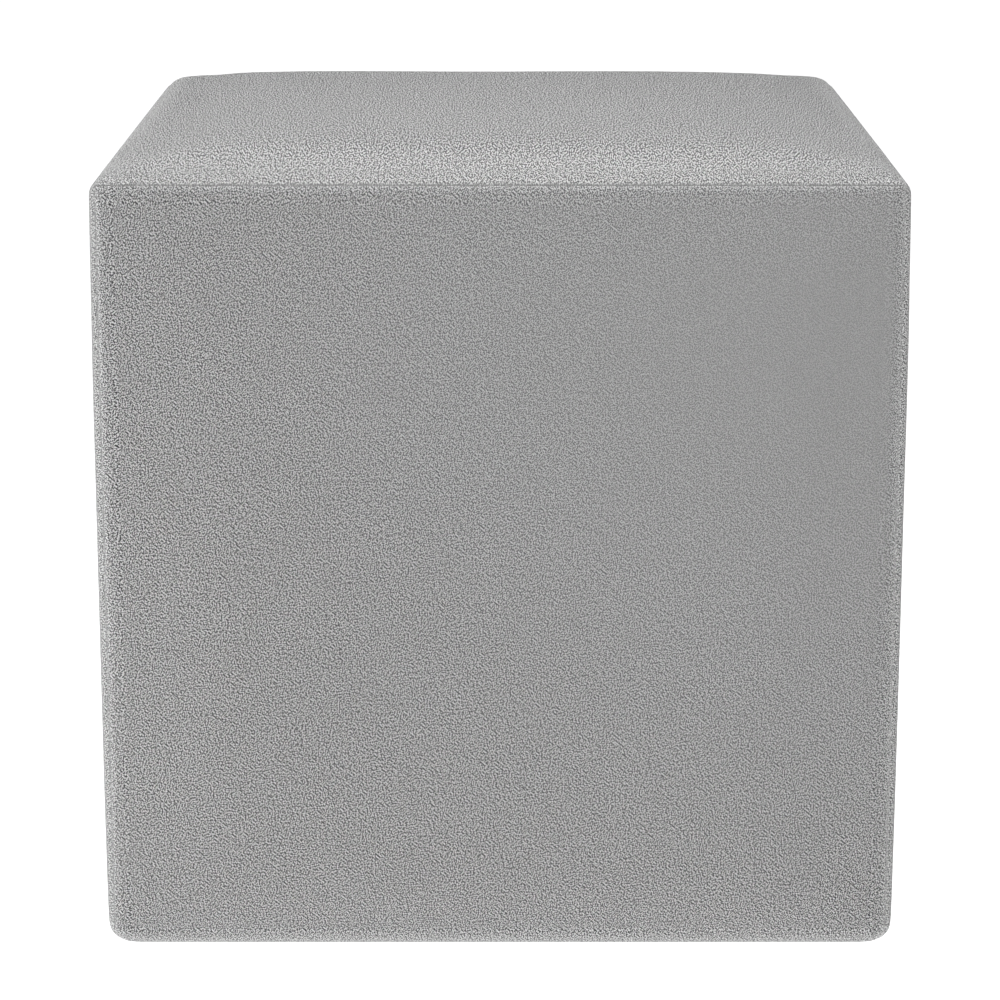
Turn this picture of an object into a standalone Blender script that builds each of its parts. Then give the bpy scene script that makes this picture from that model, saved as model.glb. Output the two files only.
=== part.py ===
# A cube pouf stool: one firm filled cube in a cover of six cut cloth panels.
# Metres, +Z up, the floor at z = 0, the front facing -Y, the origin under the middle of the base.
import math

import bmesh
import bpy

# Driving dimensions of the whole pouf
seam_half = 0.212  # from the middle to the line of each upright seam, across and deep
seam_height = 0.4245  # from the floor to the seam round the top
cloth_thickness = 0.0025
piece_gap = 0.0003  # clearance between neighbouring pieces
hem_width = 0.022  # cloth turned in flat under the body

# Rounding beside the seams: arcs that meet the seam at 45 degrees
upright_roll_radius = 0.012
top_edge_roll_radius = 0.014  # of the side panels, just under the top seam
top_panel_roll_radius = 0.019
foot_radius = 0.013  # quarter round between the sides and the floor

# The seam itself is drawn in, as a narrow channel
channel_depth = 0.0012
channel_width = 0.0024

# How finely the faces are divided
crown_cells = 8
roll_cells = 3
channel_cells = 1
foot_cells = 3

# The panels: which way each faces (degrees round +Z from the front), how far it crowns, where
# the crown peaks across and up its face (-1 to 1), and how square the crown's shoulders are.
side_panels = (
    {"name": "front_panel", "turn": 0, "crown": 0.0090, "across": 0.04, "up": 0.02, "square": 4.0},
    {"name": "right_panel", "turn": 90, "crown": 0.0098, "across": 0.03, "up": 0.06, "square": 3.4},
    {"name": "back_panel", "turn": 180, "crown": 0.0092, "across": -0.05, "up": -0.04, "square": 3.8},
    {"name": "left_panel", "turn": 270, "crown": 0.0090, "across": -0.03, "up": -0.16, "square": 4.0},
)
top_panel = {"name": "top_panel", "crown": 0.0120, "across": -0.08, "up": 0.03, "square": 4.0}

# Finishes: linear colour and roughness
cloth_colour = (0.36, 0.36, 0.36, 1.0)
base_colour = (0.30, 0.30, 0.30, 1.0)
body_colour = (0.62, 0.61, 0.58, 1.0)
cloth_roughness = 0.85
body_roughness = 0.95

half_turn_cos = math.sqrt(0.5)  # sine and cosine of the 45 degrees at which an arc meets its seam
# Each panel stops this far short of the mitre plane it shares with its neighbour
mitre_setback = piece_gap / math.sqrt(2.0)
body_depth = cloth_thickness + piece_gap  # how deep the filled body lies under the cover's face


def roll_run(radius):
    return radius * half_turn_cos


def roll_rise(radius):
    return radius * (1.0 - half_turn_cos)


def rolled(distance, radius):
    """Share of an arc's full rise at a distance from the seam: 0 on the seam, 1 past the arc."""
    left = 1.0 - min(max(distance, 0.0) / roll_run(radius), 1.0)
    return (math.sqrt(1.0 - left * left / 2.0) - half_turn_cos) / (1.0 - half_turn_cos)


def channel_share(distance):
    """Share of the channel's depth at a distance from the seam: 1 on the seam, 0 past its width."""
    left = 1.0 - min(max(distance, 0.0) / channel_width, 1.0)
    return 1.0 - math.sqrt(1.0 - left * left)


def channel(distance_a, distance_b):
    """Depth of the seam channels near two seams that meet at a corner."""
    outside = (1.0 - channel_share(distance_a)) * (1.0 - channel_share(distance_b))
    return channel_depth * (1.0 - outside)


def skewed(place, peak):
    """Moves the middle of -1 to 1 to a peak and keeps both ends."""
    return (place - peak) / (1.0 - peak * place)


def crown(panel, across, up):
    """Height of a panel's crown: full at its peak, nothing along its four edges."""
    along = 1.0 - abs(skewed(across, panel["across"])) ** panel["square"]
    rise = 1.0 - abs(skewed(up, panel["up"])) ** panel["square"]
    return panel["crown"] * along * rise


def edge_distances(radius):
    """Distances from a seam to each row beside it: the channel's rows and then the arc's."""
    rows = [channel_width * step / channel_cells for step in range(channel_cells)]
    left = roll_run(radius) - channel_width
    rows += [channel_width + left * step / roll_cells for step in range(roll_cells + 1)]
    return rows


def across_stations(radius):
    """Places from -1 to 1 across a panel, close together beside its two seams."""
    near = [distance / seam_half for distance in edge_distances(radius)]
    inner = 1.0 - near[-1]
    middle = [inner * (2.0 * step / crown_cells - 1.0) for step in range(1, crown_cells)]
    return [place - 1.0 for place in near] + middle + [1.0 - place for place in reversed(near)]


def section_rows(with_hem):
    """Rows of the upright section, from under the body to the top seam.

    inset and height place the cover's face. A layer that lies deeper moves in by shift_in and
    up by shift_up for each metre of depth.
    """
    rows = []
    if with_hem:
        rows.append({"inset": foot_radius + hem_width, "height": 0.0, "shift_in": 0.0, "shift_up": 1.0})
    for step in range(foot_cells):
        angle = math.pi / 2.0 * step / foot_cells
        rows.append({
            "inset": foot_radius * (1.0 - math.sin(angle)),
            "height": foot_radius * (1.0 - math.cos(angle)),
            "shift_in": math.sin(angle),
            "shift_up": math.cos(angle),
        })
    below = edge_distances(top_edge_roll_radius)
    wall_top = seam_height - below[-1]
    heights = [foot_radius + (wall_top - foot_radius) * step / crown_cells for step in range(crown_cells)]
    heights += [seam_height - distance for distance in reversed(below)]
    for height in heights:
        share = (height - foot_radius) / (seam_height - foot_radius)
        rows.append({"inset": 0.0, "height": height, "shift_in": 1.0, "shift_up": -share})
    return rows


def side_point(panel, across, row, depth, setback):
    """A point of a side panel that faces -Y, at a depth under the cover's face."""
    from_upright = (1.0 - abs(across)) * seam_half
    from_top = seam_height - row["height"]
    sunk = depth + channel(from_upright, from_top) * row["shift_in"]
    reach = seam_half - row["inset"] - sunk * row["shift_in"]
    bulge = crown(panel, across, 2.0 * row["height"] / seam_height - 1.0)
    ends = rolled(from_top, top_edge_roll_radius) * rolled(row["height"], top_edge_roll_radius)
    bulge += roll_rise(upright_roll_radius) * rolled(from_upright, upright_roll_radius) * ends
    height = row["height"] + sunk * row["shift_up"] - setback * max(-row["shift_up"], 0.0)
    return across * (reach - setback), -reach - bulge, height


def top_point(across, up, depth, setback):
    """A point of the top panel, at a depth under the cover's face."""
    from_side = (1.0 - abs(across)) * seam_half
    from_end = (1.0 - abs(up)) * seam_half
    sunk = depth + channel(from_side, from_end)
    reach = seam_half - sunk - setback
    rise = rolled(from_side, top_panel_roll_radius) * rolled(from_end, top_panel_roll_radius)
    bulge = crown(top_panel, across, up) + roll_rise(top_panel_roll_radius) * rise
    return across * reach, up * reach, seam_height - sunk + bulge


def flat_grid(bm, columns, rows):
    """A flat grid from -1 to 1 each way, with a corner for each column and row."""
    return bmesh.ops.create_grid(bm, x_segments=len(columns) - 1, y_segments=len(rows) - 1, size=1.0)


def station(place, stations):
    """The column or row that a corner of a flat grid stands for."""
    return stations[round((place + 1.0) / 2.0 * (len(stations) - 1))]


def shaped_face(bm, columns, rows, place):
    """Adds a face of cells whose corners lie at place(column, row)."""
    for vert in flat_grid(bm, columns, rows)["verts"]:
        vert.co = place(station(vert.co.x, columns), station(vert.co.y, rows))


def sheet_mesh(name, columns, rows, place):
    """A sheet of cloth: a grid extruded into a closed box, whose two faces are then shaped."""
    bm = bmesh.new()
    flat_grid(bm, columns, rows)
    inner = bmesh.ops.extrude_face_region(bm, geom=bm.faces[:], use_keep_orig=True)
    moved = [item for item in inner["geom"] if isinstance(item, bmesh.types.BMVert)]
    bmesh.ops.translate(bm, verts=moved, vec=(0.0, 0.0, -cloth_thickness))
    bmesh.ops.recalc_face_normals(bm, faces=bm.faces[:])
    for vert in bm.verts:
        vert.co = place(station(vert.co.x, columns), station(vert.co.y, rows), -vert.co.z)
    return finished_mesh(bm, name)


def finished_mesh(bm, name):
    mesh = bpy.data.meshes.new(name)
    bm.to_mesh(mesh)
    bm.free()
    mesh.shade_smooth()
    mesh.set_sharp_from_angle(angle=math.radians(50.0))
    return mesh


def finish(name, colour, roughness):
    material = bpy.data.materials.new(name)
    material.use_nodes = True
    shader = material.node_tree.nodes["Principled BSDF"]
    shader.inputs["Base Color"].default_value = colour
    shader.inputs["Roughness"].default_value = roughness
    shader.inputs["Metallic"].default_value = 0.0
    return material


def add_piece(name, mesh, colour, roughness, turn=0.0):
    piece = bpy.data.objects.new(name, mesh)
    piece.data.materials.append(finish(name + "_finish", colour, roughness))
    piece.rotation_euler.z = math.radians(turn)
    bpy.context.scene.collection.objects.link(piece)
    return piece


def make_side_panel(panel):
    def place(across, row, depth):
        return side_point(panel, across, row, depth, mitre_setback)

    columns = across_stations(upright_roll_radius)
    mesh = sheet_mesh(panel["name"], columns, section_rows(with_hem=True), place)
    add_piece(panel["name"], mesh, cloth_colour, cloth_roughness, panel["turn"])


def make_top_panel():
    def place(across, up, depth):
        return top_point(across, up, depth, mitre_setback)

    stations = across_stations(upright_roll_radius)
    mesh = sheet_mesh(top_panel["name"], stations, stations, place)
    add_piece(top_panel["name"], mesh, cloth_colour, cloth_roughness)


def make_base_panel():
    """A flat square of cloth on the floor, between the four turned hems."""
    half = seam_half - foot_radius - hem_width - piece_gap

    def place(across, up, depth):
        return across * half, up * half, cloth_thickness - depth

    ends = [-1.0, 1.0]
    mesh = sheet_mesh("base_panel", ends, ends, place)
    add_piece("base_panel", mesh, base_colour, cloth_roughness)


def make_filled_body():
    """The filled solid: five crowned faces and a flat underside, welded along the seams."""
    bm = bmesh.new()
    stations = across_stations(upright_roll_radius)
    rows = section_rows(with_hem=False)
    for panel in side_panels:
        turn = math.radians(panel["turn"])

        def place(across, row, panel=panel, turn=turn):
            x, y, z = side_point(panel, across, row, body_depth, 0.0)
            return (
                x * math.cos(turn) - y * math.sin(turn),
                x * math.sin(turn) + y * math.cos(turn),
                z,
            )

        shaped_face(bm, stations, rows, place)
    shaped_face(bm, stations, stations, lambda across, up: top_point(across, up, body_depth, 0.0))
    under = seam_half - foot_radius
    shaped_face(bm, stations, stations, lambda across, up: (across * under, up * under, body_depth))
    bmesh.ops.remove_doubles(bm, verts=bm.verts[:], dist=piece_gap / 10.0)
    bmesh.ops.recalc_face_normals(bm, faces=bm.faces[:])
    add_piece("filled_body", finished_mesh(bm, "filled_body"), body_colour, body_roughness)


for old in list(bpy.data.objects):
    bpy.data.objects.remove(old, do_unlink=True)
make_filled_body()
make_top_panel()
for side in side_panels:
    make_side_panel(side)
make_base_panel()
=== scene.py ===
import math

import bmesh
import bpy
from mathutils import Matrix, Vector


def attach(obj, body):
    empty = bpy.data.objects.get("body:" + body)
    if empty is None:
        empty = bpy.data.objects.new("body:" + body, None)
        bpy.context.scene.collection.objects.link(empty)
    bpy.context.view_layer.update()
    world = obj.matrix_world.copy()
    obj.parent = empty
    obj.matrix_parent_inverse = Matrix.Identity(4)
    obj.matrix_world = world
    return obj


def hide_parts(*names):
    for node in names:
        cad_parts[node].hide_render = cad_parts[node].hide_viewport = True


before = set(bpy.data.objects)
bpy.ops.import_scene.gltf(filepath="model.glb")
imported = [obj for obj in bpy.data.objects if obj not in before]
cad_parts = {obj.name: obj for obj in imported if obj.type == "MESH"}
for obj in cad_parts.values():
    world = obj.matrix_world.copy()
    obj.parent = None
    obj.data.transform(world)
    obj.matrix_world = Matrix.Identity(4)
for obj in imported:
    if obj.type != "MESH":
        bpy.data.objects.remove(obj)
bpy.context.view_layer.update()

# The whole pouf, in metres: the driving sizes of its solids
pouf = {
    "seamHalf": 0.212,  # from the middle to each upright seam
    "seamHeight": 0.4245,  # from the floor to the seam round the top
    "uprightRoll": 0.012,  # radius of the rounding beside the upright seams
    "topEdgeRoll": 0.009,  # and under the top seam: tighter than the solids', as in the photograph
    "topPanelRoll": 0.019,  # and round the top panel
    "footRadius": 0.013,  # quarter round between the sides and the floor
}
cloth = {
    "thickness": 0.0025,
    "hem": 0.022,  # turned in flat under the body
    "seamAllowance": 0.004,  # cut past each seam, out of sight
    "gap": 0.0003,  # between cover, cushion and base panel
    "seamGap": 0.00006,  # between two panels that are sewn together
    "channelDepth": 0.0009,  # how far a seam is drawn in
    "channelWidth": 0.0024,  # on each side of the seam
}
form = {
    "cell": 0.009,  # of the grid over each face, before it is subdivided
    "besideSeam": (0.0, 0.0010, 0.0022, 0.0038, 0.0060, 0.0095),  # rows beside a seam
    "hemCells": 3,
    "footCells": 5,
    "startShare": 0.70,  # of the full crown: the filling swells it to its size
    "weld": 0.00002,  # corners this near to each other are one
    "smoothLevels": 1,  # of subdivision
    "facesDown": -0.9,  # a normal's height on the underside
    "sharpAngle": 60.0,  # degrees, past which an edge is shaded sharp
}
# The panels: which way each faces (degrees round +Z from the front), how far it crowns, where the
# crown peaks across and up its face (-1 to 1), and how square the crown's shoulders are
sidePanels = (
    {"name": "frontPanel", "turn": 0, "crown": 0.0090, "across": 0.04, "up": 0.02, "square": 4.0},
    {"name": "rightPanel", "turn": 90, "crown": 0.0098, "across": 0.03, "up": 0.06, "square": 3.4},
    {"name": "backPanel", "turn": 180, "crown": 0.0092, "across": -0.05, "up": -0.04, "square": 3.8},
    {"name": "leftPanel", "turn": 270, "crown": 0.0090, "across": -0.03, "up": -0.16, "square": 4.0},
)
topPanel = {"name": "topPanel", "crown": 0.0120, "across": -0.08, "up": 0.03, "square": 4.0}
# Each face of the form keeps its panel's number: the sides count from 0, and these two follow
topNumber = len(sidePanels)
baseNumber = topNumber + 1

cos45 = math.sqrt(0.5)
clothMap = "clothMap"  # metres along each panel's own cloth
seamMap = "seamMap"  # metres from the nearest seam, and along it


def rollRun(radius):
    return radius * cos45


def rollRise(radius):
    return radius * (1.0 - cos45)


def rolled(distance, radius):
    left = 1.0 - min(max(distance, 0.0) / rollRun(radius), 1.0)
    return (math.sqrt(1.0 - left * left / 2.0) - cos45) / (1.0 - cos45)


def skewed(place, peak):
    return (place - peak) / (1.0 - peak * place)


def crown(panel, across, up):
    along = 1.0 - abs(skewed(across, panel["across"])) ** panel["square"]
    rise = 1.0 - abs(skewed(up, panel["up"])) ** panel["square"]
    return panel["crown"] * form["startShare"] * along * rise


def sidePoint(panel, across, row):
    fromUpright = (1.0 - abs(across)) * pouf["seamHalf"]
    fromTop = pouf["seamHeight"] - row["height"]
    reach = pouf["seamHalf"] - row["inset"]
    ends = rolled(fromTop, pouf["topEdgeRoll"]) * rolled(row["height"], pouf["topEdgeRoll"])
    bulge = rollRise(pouf["uprightRoll"]) * rolled(fromUpright, pouf["uprightRoll"]) * ends
    bulge += crown(panel, across, 2.0 * row["height"] / pouf["seamHeight"] - 1.0)
    return Vector((across * reach, -reach - bulge, row["height"]))


def topPoint(panel, across, up):
    fromSide = (1.0 - abs(across)) * pouf["seamHalf"]
    fromEnd = (1.0 - abs(up)) * pouf["seamHalf"]
    rise = rolled(fromSide, pouf["topPanelRoll"]) * rolled(fromEnd, pouf["topPanelRoll"])
    bulge = crown(panel, across, up) + rollRise(pouf["topPanelRoll"]) * rise
    return Vector((across * pouf["seamHalf"], up * pouf["seamHalf"], pouf["seamHeight"] + bulge))


def acrossStations():
    near = [distance / pouf["seamHalf"] for distance in form["besideSeam"]]
    inner = 1.0 - near[-1]
    cells = round(2.0 * inner * pouf["seamHalf"] / form["cell"])
    middle = [inner * (2.0 * step / cells - 1.0) for step in range(1, cells)]
    return [place - 1.0 for place in near] + middle + [1.0 - place for place in reversed(near)]


def sectionRows():
    # From the hem's inner edge, round the foot and up the wall to the top seam
    foot = pouf["footRadius"]
    rows = []
    for step in range(form["hemCells"]):
        run = cloth["hem"] * step / form["hemCells"]
        rows.append({"inset": foot + cloth["hem"] - run, "height": 0.0, "run": run})
    for step in range(form["footCells"]):
        angle = math.pi / 2.0 * step / form["footCells"]
        rows.append({
            "inset": foot * (1.0 - math.sin(angle)),
            "height": foot * (1.0 - math.cos(angle)),
            "run": cloth["hem"] + foot * angle,
        })
    wallTop = pouf["seamHeight"] - form["besideSeam"][-1]
    cells = round((wallTop - foot) / form["cell"])
    heights = [foot + (wallTop - foot) * step / cells for step in range(cells)]
    heights += [pouf["seamHeight"] - distance for distance in reversed(form["besideSeam"])]
    footRun = cloth["hem"] + foot * math.pi / 2.0
    rows += [{"inset": 0.0, "height": height, "run": footRun + height - foot} for height in heights]
    return rows


topRun = sectionRows()[-1]["run"]  # from the hem's inner edge to the top seam, along the cloth


def addPanel(bm, number, columns, rows, place, flatPlace):
    maps = bm.loops.layers.uv[clothMap]
    made = bmesh.ops.create_grid(bm, x_segments=len(columns) - 1, y_segments=len(rows) - 1, size=1.0)
    flat = {}
    for vert in made["verts"]:
        column = columns[round((vert.co.x + 1.0) / 2.0 * (len(columns) - 1))]
        row = rows[round((vert.co.y + 1.0) / 2.0 * (len(rows) - 1))]
        flat[vert] = flatPlace(column, row)
        vert.co = place(column, row)
    for face in {face for vert in made["verts"] for face in vert.link_faces}:
        face.material_index = number
        for loop in face.loops:
            loop[maps].uv = flat[loop.vert]


def closedForm():
    bm = bmesh.new()
    bm.loops.layers.uv.new(clothMap)
    columns = acrossStations()
    rows = sectionRows()
    half = pouf["seamHalf"]
    for number, panel in enumerate(sidePanels):
        turned = Matrix.Rotation(math.radians(panel["turn"]), 3, "Z")
        addPanel(
            bm, number, columns, rows,
            lambda across, row, panel=panel, turned=turned: turned @ sidePoint(panel, across, row),
            lambda across, row: (across * half, row["run"]),
        )
    addPanel(
        bm, topNumber, columns, columns,
        lambda across, up: topPoint(topPanel, across, up),
        lambda across, up: (across * half, up * half),
    )
    under = half - rows[0]["inset"]
    addPanel(
        bm, baseNumber, columns, columns,
        lambda across, up: Vector((across * under, up * under, 0.0)),
        lambda across, up: (across * under, up * under),
    )
    bmesh.ops.remove_doubles(bm, verts=bm.verts[:], dist=form["weld"])
    bmesh.ops.recalc_face_normals(bm, faces=bm.faces[:])
    mesh = bpy.data.meshes.new("closedForm")
    bm.to_mesh(mesh)
    bm.free()
    made = bpy.data.objects.new("closedForm", mesh)
    bpy.context.scene.collection.objects.link(made)
    return made


def seamDistances(number, place):
    # From a place on a panel's cloth to its upright seams, its top seam and the floor
    half = pouf["seamHalf"]
    if number == baseNumber:
        return 0.0, 0.0, 0.0
    if number == topNumber:
        return half - abs(place.x), half - abs(place.y), half
    return half - abs(place.x), topRun - place.y, place.y - cloth["hem"]


swelling = {
    "pressure": 4.0,
    "frames": 20,
    "heldWithin": 0.0001,  # a point this near to a seam is held, and so is all that lies on the floor
    "cap": 0.0032,  # a point's movement levels off towards this
    "seamFade": 0.055,  # and it dies away this near to a seam
    "vertexMass": 0.3,
    "stiffness": 15.0,
    "bending": 0.5,
    "quality": 6,
}


def seamRooms(mesh):
    # How far each point is from its nearest seam or from the floor: less than 0 on the hems
    rooms = [pouf["seamHalf"]] * len(mesh.vertices)
    places = mesh.uv_layers[clothMap].data
    for face in mesh.polygons:
        for loop in face.loop_indices:
            number = mesh.loops[loop].vertex_index
            near = min(seamDistances(face.material_index, places[loop].uv))
            rooms[number] = min(rooms[number], near)
    return rooms


def smoothStep(share):
    share = min(max(share, 0.0), 1.0)
    return share * share * (3.0 - 2.0 * share)


def swell(made):
    rooms = seamRooms(made.data)
    held = made.vertex_groups.new(name="held")
    fixed = [number for number, room in enumerate(rooms) if room < swelling["heldWithin"]]
    held.add(fixed, 1.0, "REPLACE")
    modifier = made.modifiers.new("Swelling", "CLOTH")
    settings = modifier.settings
    settings.vertex_group_mass = held.name
    settings.mass = swelling["vertexMass"]
    settings.quality = swelling["quality"]
    settings.tension_stiffness = swelling["stiffness"]
    settings.compression_stiffness = swelling["stiffness"]
    settings.bending_stiffness = swelling["bending"]
    settings.use_pressure = True
    settings.uniform_pressure_force = swelling["pressure"]
    settings.effector_weights.gravity = 0.0
    scene = bpy.context.scene
    for number in range(1, swelling["frames"] + 1):
        scene.frame_set(number)
    swollen = made.evaluated_get(bpy.context.evaluated_depsgraph_get()).data
    normals = [vert.normal.copy() for vert in made.data.vertices]
    outs = [(after.co - before.co).dot(normal)
            for before, after, normal in zip(made.data.vertices, swollen.vertices, normals)]
    made.modifiers.remove(modifier)
    made.vertex_groups.remove(held)
    cap = swelling["cap"]
    for vert, normal, out, room in zip(made.data.vertices, normals, outs, rooms):
        out = cap * math.tanh(max(out, 0.0) / cap) * smoothStep(room / swelling["seamFade"])
        vert.co += normal * out
    scene.frame_set(1)
    print(f"the cloth swelled by up to {max(outs) * 1000:.1f} mm, levelled at {cap * 1000:.1f} mm")


def subdivided(made):
    modifier = made.modifiers.new("Smooth", "SUBSURF")
    modifier.levels = form["smoothLevels"]
    modifier.render_levels = form["smoothLevels"]
    modifier.uv_smooth = "NONE"
    mesh = bpy.data.meshes.new_from_object(made.evaluated_get(bpy.context.evaluated_depsgraph_get()))
    bpy.data.objects.remove(made)
    return mesh


def seamPull(distance):
    left = 1.0 - min(max(distance, 0.0) / cloth["channelWidth"], 1.0)
    return 1.0 - math.sqrt(1.0 - left * left)


def drawIn(bm):
    # The channel is cut square to both panels that a seam joins, and runs out under the foot
    maps = bm.loops.layers.uv[clothMap]
    seams = bm.loops.layers.uv.new(seamMap)
    footRun = pouf["footRadius"] * math.pi / 2.0
    pulls = {}
    for face in bm.faces:
        number = face.material_index
        isTop = number == topNumber
        middle = sum((loop[maps].uv for loop in face.loops), Vector((0.0, 0.0))) / len(face.loops)
        toSide, toEnd, toFloor = seamDistances(number, middle)
        for loop in face.loops:
            place = loop[maps].uv
            fromSide, fromEnd, fromFloor = seamDistances(number, place)
            if number == baseNumber:
                loop[seams].uv = (pouf["seamHalf"], 0.0)
                continue
            loop[seams].uv = (fromEnd, place.x) if toEnd < toSide else (fromSide, place.y)
            fade = 1.0 if isTop else min(max(fromFloor / footRun, 0.0), 1.0)
            side = seamPull(fromSide) * fade
            end = seamPull(fromEnd) * fade
            both = 1.0 - (1.0 - side) * (1.0 - end)
            across = -math.copysign(side, place.x)
            if isTop:
                pull = Vector((across, -math.copysign(end, place.y), -both))
            else:
                turn = Matrix.Rotation(math.radians(sidePanels[number]["turn"]), 3, "Z")
                pull = turn @ Vector((across, both, -end))
            pulls[loop.vert] = pull * cloth["channelDepth"]
        for loop in face.loops:
            loop[maps].uv.x += number  # so that no two panels have the same grain
    for vert, pull in pulls.items():
        vert.co += pull


def sewnForm(mesh):
    # The way inward is taken before the seams are drawn in, so that no layer folds over at a seam
    bm = bmesh.new()
    bm.from_mesh(mesh)
    bm.normal_update()
    inward = bm.verts.layers.float_vector.new("inward")
    for vert in bm.verts:
        vert[inward] = -vert.normal
        if vert.co.z < cloth["gap"] and vert.normal.z < form["facesDown"]:
            vert[inward] = (0.0, 0.0, 1.0)
    drawIn(bm)
    return bm


def partPanel(wholeForm, number):
    bm = wholeForm.copy()
    others = [face for face in bm.faces if face.material_index != number]
    bmesh.ops.delete(bm, geom=others, context="FACES")
    rim = [vert for vert in bm.verts if vert.is_boundary]
    steps = {}
    for vert in rim:
        inner = [edge.other_vert(vert) for edge in vert.link_edges if not edge.is_boundary]
        if not inner:  # a corner: towards the middle of its one face
            inner = [loop.link_loop_next.link_loop_next.vert for loop in vert.link_loops]
        toInside = sum((other.co - vert.co for other in inner), Vector())
        steps[vert] = toInside.normalized() * cloth["seamGap"] / 2.0
    for vert, step in steps.items():
        vert.co += step
    inward = bm.verts.layers.float_vector["inward"]
    added = bmesh.ops.extrude_face_region(bm, geom=bm.faces[:], use_keep_orig=True)
    for item in added["geom"]:
        if isinstance(item, bmesh.types.BMVert):
            item.co += Vector(item[inward]) * cloth["thickness"]
    bmesh.ops.recalc_face_normals(bm, faces=bm.faces[:])
    for face in bm.faces:
        face.material_index = 0
    return bm


def cushionForm(wholeForm):
    bm = wholeForm.copy()
    inward = bm.verts.layers.float_vector["inward"]
    for vert in bm.verts:
        vert.co += Vector(vert[inward]) * (cloth["thickness"] + cloth["gap"])
    for face in bm.faces:
        face.material_index = 0
    return bm


def addPiece(name, bm, finish):
    mesh = bpy.data.meshes.new(name)
    bm.to_mesh(mesh)
    bm.free()
    mesh.shade_smooth()
    mesh.set_sharp_from_angle(angle=math.radians(form["sharpAngle"]))
    mesh.materials.clear()
    mesh.materials.append(finish)
    piece = bpy.data.objects.new(name, mesh)
    bpy.context.scene.collection.objects.link(piece)
    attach(piece, "root")
    return piece


class Field:
    # One socket of a finish, with the operators that its maths uses
    def __init__(self, finish, socket):
        self.finish = finish
        self.socket = socket

    def math(self, operation, first, second):
        return self.finish.math(operation, first, second)

    def __add__(self, other):
        return self.math("ADD", self, other)

    def __radd__(self, other):
        return self.math("ADD", other, self)

    def __sub__(self, other):
        return self.math("SUBTRACT", self, other)

    def __rsub__(self, other):
        return self.math("SUBTRACT", other, self)

    def __mul__(self, other):
        return self.math("MULTIPLY", self, other)

    def __rmul__(self, other):
        return self.math("MULTIPLY", other, self)

    def __gt__(self, other):
        return self.math("GREATER_THAN", self, other)

    def __lt__(self, other):
        return self.math("LESS_THAN", self, other)


colourMix = {"inputs": (6, 7), "output": 2}  # a Mix node's sockets for two colours


class Finish:
    # A graph of nodes that ends in one shader: of a material, or of the studio round the pouf
    def __init__(self, name, makers=bpy.data.materials, shader="Principled BSDF"):
        self.owner = makers.new(name)
        self.owner.use_nodes = True
        self.graph = self.owner.node_tree
        self.shader = self.graph.nodes[shader]

    def node(self, kind, settings, inputs, output=0):
        made = self.graph.nodes.new(kind)
        for setting, value in settings.items():
            setattr(made, setting, value)
        for place, value in inputs.items():
            self.feed(made.inputs[place], value)
        return Field(self, made.outputs[output])

    def feed(self, socket, value):
        if isinstance(value, Field):
            self.graph.links.new(value.socket, socket)
        else:
            socket.default_value = value

    def set(self, **values):
        for place, value in values.items():
            self.feed(self.shader.inputs[place.replace("_", " ")], value)

    def math(self, operation, first, second):
        return self.node("ShaderNodeMath", {"operation": operation}, {0: first, 1: second})

    def mixed(self, factor, first, second):
        places = colourMix["inputs"]
        inputs = {0: factor, places[0]: first, places[1]: second}
        return self.node("ShaderNodeMix", {"data_type": "RGBA"}, inputs, colourMix["output"])

    def part(self, place, axis):
        return self.node("ShaderNodeSeparateXYZ", {}, {0: place}, axis)

    def ramped(self, field, start, end):
        inputs = {"Value": field, "From Min": start, "From Max": end}
        return self.node("ShaderNodeMapRange", {}, inputs)

    def fading(self, field, start, end):
        inputs = {"Value": field, "From Min": start, "From Max": end, "To Min": 1.0, "To Max": 0.0}
        return self.node("ShaderNodeMapRange", {"interpolation_type": "SMOOTHSTEP"}, inputs)

    def noise(self, place, scale, detail, dimensions):
        inputs = {"Vector": place, "Scale": scale, "Detail": detail}
        return self.node("ShaderNodeTexNoise", {"noise_dimensions": dimensions}, inputs)

    def bump(self, height, depth):
        return self.node("ShaderNodeBump", {}, {"Distance": depth, "Height": height})


def grey(value):
    return (value, value, value, 1.0)


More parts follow.
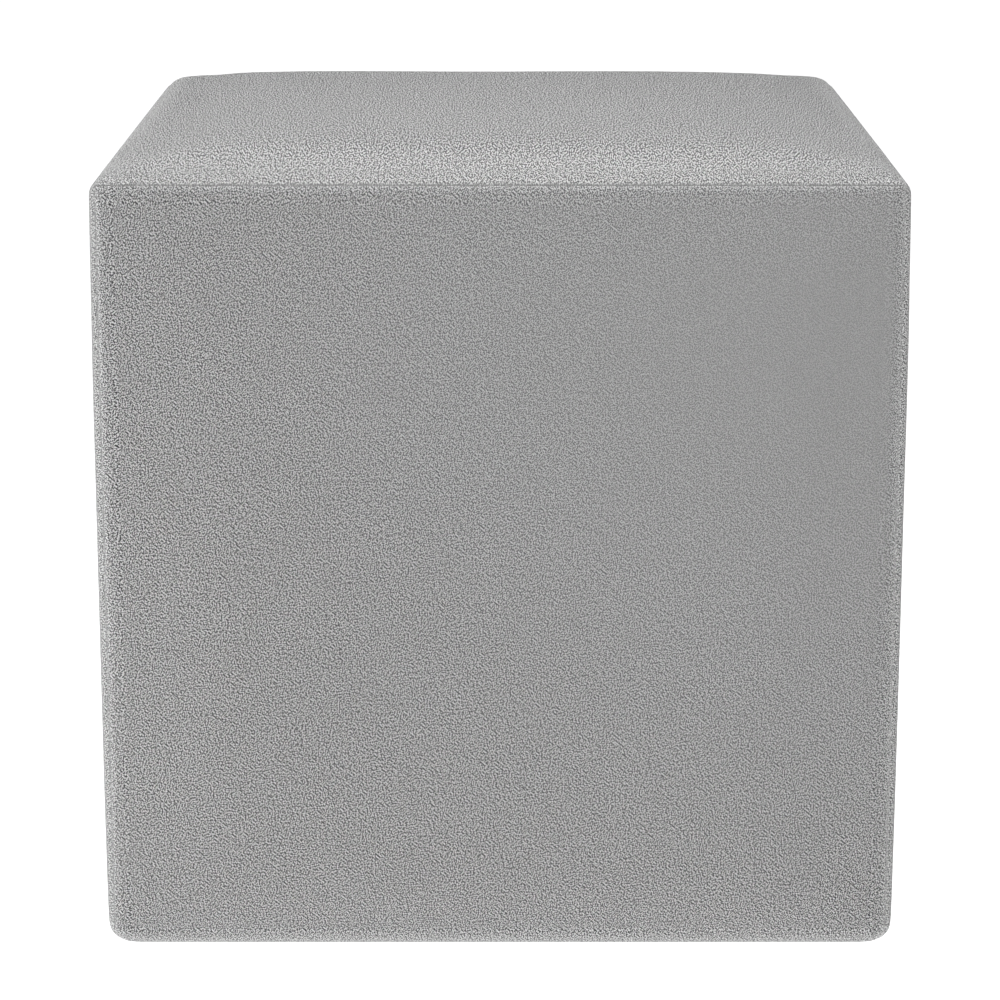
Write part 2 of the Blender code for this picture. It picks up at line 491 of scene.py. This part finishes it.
coverCloth = {
    # The grain: pale tips and dark pits; its relief is a real bump, and the dark of its pits is painted
    # shade
    "pale": 0.75,
    "dark": 0.005,
    "grainEdge": (0.40, 0.60),  # between these heights of the grain a pit turns into a tip
    "grainScale": 1850.0,  # wrinkles to a metre
    "grainTurn": -40.0,  # degrees: the wrinkles run down to the right
    "grainLong": (1.0, 1.6, 1.0),  # and are this much longer than they are wide
    "grainDepth": 0.0006,
    "topStretch": (0.74, 0.24, 1.0),  # on the top panel they are longer, front to back,
    "topFrom": (0.004, 0.016),  # from this far off its seams
    # Where the grain's painted pit shade is weaker, following how the light falls on each face
    "calm": 0.82,  # it fades by this much at the upper right of the front, where the light falls head-on,
    "calmAcross": (-0.212, 0.165),
    "calmUp": (0.042, 0.351),
    "calmTop": 0.055,  # but less this near to the top seam
    "calmTopLess": 0.4,
    "seamZone": 0.009,  # and this near to any seam
    "calmSeamLess": 0.7,
    "higher": 0.20,  # at the top of a side
    "higherFrom": 0.25,
    "topCalm": 0.06,  # on the top panel, most at its front
    "topCalmLess": 0.6,  # and less by this share at its back
    "topCalmUp": (-0.08, 0.20),
    # Painted light and shade: where the cloth is painted darker or paler
    "sidePaintedShade": (0.020, 0.050),  # painted shade: the sides, and their upper ends once more
    "paintedShadeFrom": 0.08,
    # painted light on the foot, low down where the floor lights it
    "footPaintedLight": 0.07,
    "footLightUp": (0.034, 0.045),
    "frontPaintedLight": 0.06,  # painted light on the top panel beside its front seam
    "frontLightUp": (-0.19, -0.145),
    "edgePaintedLight": 0.09,  # and painted light beside its other seams, towards the back
    "edgeLightZone": (0.006, 0.022),
    "edgeLightUp": (-0.15, 0.10),
    "seamPaintedHighlight": 0.08,  # painted highlight on every panel, close beside its seams
    "seamHighlightZone": (0.0005, 0.0045),
    # The line of the seam
    "seamLine": 0.0006,
    "seamRagged": 0.0016,  # how unevenly its edge runs
    "seamTone": 0.36,
    "roughness": 0.88,
    "roughnessSpread": 0.1,
}


def grainOf(made, cut, look, kind, size):
    turn = (0.0, 0.0, math.radians(look["grainTurn"]))
    placed = made.node(
        "ShaderNodeMapping", {"vector_type": kind}, {"Vector": cut, "Rotation": turn, "Scale": size})
    return made.noise(placed, look["grainScale"], 0.0, "2D")


# How strongly the grain's pits are painted dark: painted shade that follows how the light falls
def pitShadeStrength(made, look, across, up, fromSeam, isTop):
    isFront = across < 0.5
    nearSeam = made.fading(fromSeam, 0.0, look["seamZone"])
    nearTop = made.ramped(up, topRun - look["calmTop"], topRun)
    calm = look["calm"] * made.ramped(across, *look["calmAcross"]) * made.ramped(up, *look["calmUp"])
    calm = calm * isFront * (1.0 - look["calmTopLess"] * nearTop)
    calm = calm * (1.0 - look["calmSeamLess"] * nearSeam)
    weaker = look["higher"] * made.ramped(up, look["higherFrom"], topRun)
    topWeaker = look["topCalm"] * (1.0 - look["topCalmLess"] * made.ramped(up, *look["topCalmUp"]))
    return (1.0 - calm) * (1.0 - weaker - (topWeaker - weaker) * isTop)


def paintedLightAndShade(made, look, up, fromSeam, isTop):
    # How much darker the cloth is painted than its mean: painted shade on the sides, and painted light at
    # the foot, round the top panel and beside every seam
    # Painted shade on the sides, more at their upper ends
    side, upperPaintedShade = look["sidePaintedShade"]
    paintedOnSides = side + upperPaintedShade * made.ramped(up, look["paintedShadeFrom"], topRun)
    # painted light at the foot
    paintedOnSides = paintedOnSides - look["footPaintedLight"] * made.fading(up, *look["footLightUp"])
    # painted light on the top panel beside its front seam
    paintedLightOnTop = look["frontPaintedLight"] * made.fading(up, *look["frontLightUp"])
    # painted light beside the top panel's other seams, towards the back
    edgeLight = look["edgePaintedLight"] * made.fading(fromSeam, *look["edgeLightZone"])
    paintedLightOnTop = paintedLightOnTop + edgeLight * made.ramped(up, *look["edgeLightUp"])
    # painted highlight close beside every seam
    seamHighlight = look["seamPaintedHighlight"] * made.fading(fromSeam, *look["seamHighlightZone"])
    return paintedOnSides - (paintedOnSides + paintedLightOnTop) * isTop - seamHighlight


def coverFinish(look):
    made = Finish("coverCloth")
    cut = made.node("ShaderNodeUVMap", {"uv_map": clothMap}, {})
    across = made.part(cut, 0)
    up = made.part(cut, 1)
    fromSeam = made.part(made.node("ShaderNodeUVMap", {"uv_map": seamMap}, {}), 0)
    isTop = across > topNumber - 0.5
    even = grainOf(made, cut, look, "TEXTURE", look["grainLong"])
    longer = grainOf(made, cut, look, "POINT", look["topStretch"])
    onTop = isTop * (1.0 - made.fading(fromSeam, *look["topFrom"]))
    grain = even + (longer - even) * onTop
    paintedPitShade = pitShadeStrength(made, look, across, up, fromSeam, isTop)
    paintedLightShade = paintedLightAndShade(made, look, up, fromSeam, isTop)
    # The share of the dark colour: painted shade in the grain's pits, plus the painted light and shade
    pits = 0.5 + paintedLightShade + (made.fading(grain, *look["grainEdge"]) - 0.5) * paintedPitShade
    colour = made.mixed(pits, grey(look["pale"]), grey(look["dark"]))
    ragged = fromSeam + look["seamRagged"] * (even - 0.5)
    onSeam = made.fading(ragged, 0.0, look["seamLine"])
    made.set(
        Base_Color=made.mixed(onSeam, colour, grey(look["seamTone"])),
        Roughness=look["roughness"] + look["roughnessSpread"] * (even - 0.5),
        Normal=made.bump(grain, look["grainDepth"]),
    )
    return made.owner


baseCloth = {
    "weaveScale": 900.0,  # grains to a metre
    "weaveDetail": 1.0,
    "weaveDepth": 0.0006,
    "dark": 0.26,
    "pale": 0.33,
    "roughness": 0.9,
}


def baseFinish(look):
    made = Finish("baseCloth")
    place = made.node("ShaderNodeTexCoord", {}, {}, "Object")
    weave = made.noise(place, look["weaveScale"], look["weaveDetail"], "3D")
    colour = made.mixed(weave, grey(look["dark"]), grey(look["pale"]))
    made.set(Base_Color=colour, Roughness=look["roughness"], Normal=made.bump(weave, look["weaveDepth"]))
    return made.owner


filling = {
    "cellScale": 350.0,  # cells to a metre
    "cellDetail": 2.0,
    "cellDepth": 0.001,
    "dark": (0.56, 0.55, 0.51, 1.0),
    "pale": (0.66, 0.65, 0.62, 1.0),
    "roughness": 0.95,
}


def fillingFinish(look):
    made = Finish("filling")
    place = made.node("ShaderNodeTexCoord", {}, {}, "Object")
    cells = made.noise(place, look["cellScale"], look["cellDetail"], "3D")
    colour = made.mixed(cells, look["dark"], look["pale"])
    made.set(Base_Color=colour, Roughness=look["roughness"], Normal=made.bump(cells, look["cellDepth"]))
    return made.owner


def makeCover(wholeForm, finish):
    width = 2.0 * pouf["seamHalf"]
    allowance = 2.0 * cloth["seamAllowance"]
    for number, panel in enumerate(sidePanels + (topPanel,)):
        piece = addPiece(panel["name"], partPanel(wholeForm, number), finish)
        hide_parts(panel["name"].replace("Panel", "_panel"))
        length = width if panel is topPanel else topRun
        flat = (width + allowance, length + allowance)
        print("sewn", panel["name"], len(piece.data.polygons), "faces")


basePanel = {"cells": 12}


def makeBase(finish):
    half = pouf["seamHalf"] - pouf["footRadius"] - cloth["hem"] - cloth["gap"]
    bm = bmesh.new()
    bm.loops.layers.uv.new(clothMap)
    cells = basePanel["cells"]
    bmesh.ops.create_grid(bm, x_segments=cells, y_segments=cells, size=half, calc_uvs=True)
    added = bmesh.ops.extrude_face_region(bm, geom=bm.faces[:], use_keep_orig=True)
    raised = [item for item in added["geom"] if isinstance(item, bmesh.types.BMVert)]
    bmesh.ops.translate(bm, verts=raised, vec=(0.0, 0.0, cloth["thickness"]))
    bmesh.ops.recalc_face_normals(bm, faces=bm.faces[:])
    piece = addPiece("basePanel", bm, finish)
    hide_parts("base_panel")
    print("closed the underside:", len(piece.data.polygons), "faces")


def makeCushion(wholeForm, finish):
    piece = addPiece("filledCushion", cushionForm(wholeForm), finish)
    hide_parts("filled_body")
    return piece


view = {
    "toFront": 1.70,  # from the lens to the front seams
    "height": 0.6914,  # above the floor
    "tiltDown": 13.017,  # degrees
    "focalPixels": 3294.4,  # for an image of this width
    "imageWidth": 1000.0,
    "shift": -0.08,
    "sensor": 36.0,  # millimetres
}


def makeCamera():
    data = bpy.data.cameras.new("camera")
    data.sensor_width = view["sensor"]
    data.lens = view["focalPixels"] / view["imageWidth"] * view["sensor"]
    data.shift_y = view["shift"]
    camera = bpy.data.objects.new("camera", data)
    camera.location = (0.0, -pouf["seamHalf"] - view["toFront"], view["height"])
    camera.rotation_euler = (math.radians(90.0 - view["tiltDown"]), 0.0, 0.0)
    bpy.context.scene.collection.objects.link(camera)
    bpy.context.scene.camera = camera


softLights = (
    {"name": "leftSoft", "at": (-1.5, 0.0, 0.5), "aim": (0.0, 0.0, 0.2), "size": (1.2, 1.0), "watts": 9.8},
    {"name": "leftLow", "at": (-0.85, -0.36, 0.12), "aim": (0.0, -0.36, 0.12), "size": (0.25, 0.4),
     "watts": 1.1},
    {"name": "rightSoft", "at": (1.4, 0.3, 0.5), "aim": (0.0, 0.0, 0.2), "size": (1.0, 1.0), "watts": 2.4},
    {"name": "over", "at": (0.0, 0.1, 1.5), "aim": (0.0, 0.0, 0.4), "size": (1.4, 1.2), "watts": 8.6},
    {"name": "highFront", "at": (0.0, -0.62, 1.3), "aim": (0.0, -0.2, 0.42), "size": (1.0, 0.3),
     "watts": 6.3},
)
studio = {
    "walls": 0.065,  # how bright the studio is all round
    "low": 1.0,  # a white band behind the floor's edge
    "lowTop": 0.10,  # full up to this height on a sphere of 1, and gone at the next
    "lowEnd": 0.28,
}


def makeLights():
    for light in softLights:
        data = bpy.data.lights.new(light["name"], "AREA")
        data.shape = "RECTANGLE"
        data.size, data.size_y = light["size"]
        data.energy = light["watts"]
        lamp = bpy.data.objects.new(light["name"], data)
        lamp.location = light["at"]
        lamp.rotation_euler = (Vector(light["aim"]) - lamp.location).to_track_quat("-Z", "Y").to_euler()
        lamp.visible_camera = False
        bpy.context.scene.collection.objects.link(lamp)


def makeStudio(look):
    made = Finish("studio", bpy.data.worlds, "Background")
    way = made.node("ShaderNodeTexCoord", {}, {}, "Generated")
    band = made.fading(made.part(way, 2), look["lowTop"], look["lowEnd"])
    made.set(Color=grey(1.0), Strength=look["walls"] + (look["low"] - look["walls"]) * band)
    bpy.context.scene.world = made.owner


floor = {"half": 20.0, "colour": 0.4, "glow": 1.05, "roughness": 0.9}


def makeFloor():
    bm = bmesh.new()
    bmesh.ops.create_grid(bm, x_segments=1, y_segments=1, size=floor["half"])
    mesh = bpy.data.meshes.new("floor")
    bm.to_mesh(mesh)
    bm.free()
    made = Finish("paleFloor")
    made.set(
        Base_Color=grey(floor["colour"]), Roughness=floor["roughness"],
        Emission_Color=grey(1.0), Emission_Strength=floor["glow"])
    mesh.materials.append(made.owner)
    plane = bpy.data.objects.new("floor", mesh)
    bpy.context.scene.collection.objects.link(plane)


makeCamera()
makeLights()
makeStudio(studio)
makeFloor()
print("camera, lights and floor are placed")
rough = closedForm()
print("closed form:", len(rough.data.polygons), "faces")
swell(rough)
sewn = sewnForm(subdivided(rough))
print("subdivided and sewn:", len(sewn.faces), "faces")
filledCushion = makeCushion(sewn, fillingFinish(filling))
makeCover(sewn, coverFinish(coverCloth))
makeBase(baseFinish(baseCloth))
sewn.free()
bpy.context.scene.view_settings.view_transform = "Standard"
